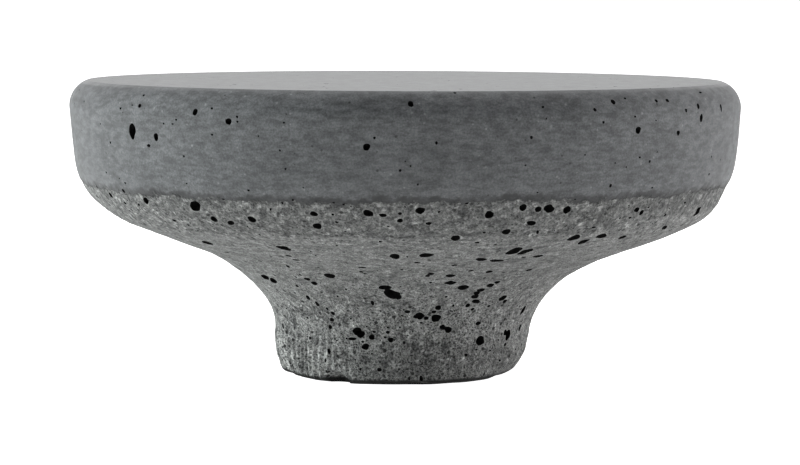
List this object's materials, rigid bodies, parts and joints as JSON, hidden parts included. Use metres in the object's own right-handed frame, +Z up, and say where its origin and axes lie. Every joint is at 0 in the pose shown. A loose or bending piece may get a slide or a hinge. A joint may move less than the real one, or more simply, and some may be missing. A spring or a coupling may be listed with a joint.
{
  "type": "basalt massage stone",
  "caption": "Mushroom-shaped basalt massage stone: a wide round cap honed smooth above a hand-carved, open-pored flank and grip stem with a flat foot.",
  "frame": {"origin": "centre of the flat foot, on the surface that the stone stands on", "axes": "+Z up through the stem to the cap's working face; -Y is the side seen from the front and +X is on its right"},
  "size_m": [0.1, 0.1, 0.0437],
  "materials": {
    "basalt": "matt grey basalt: honed on the cap's face and band, rough with open pores below"
  },
  "bodies": {
    "root": {"massage_stone": "basalt"}
  },
  "joints": []
}
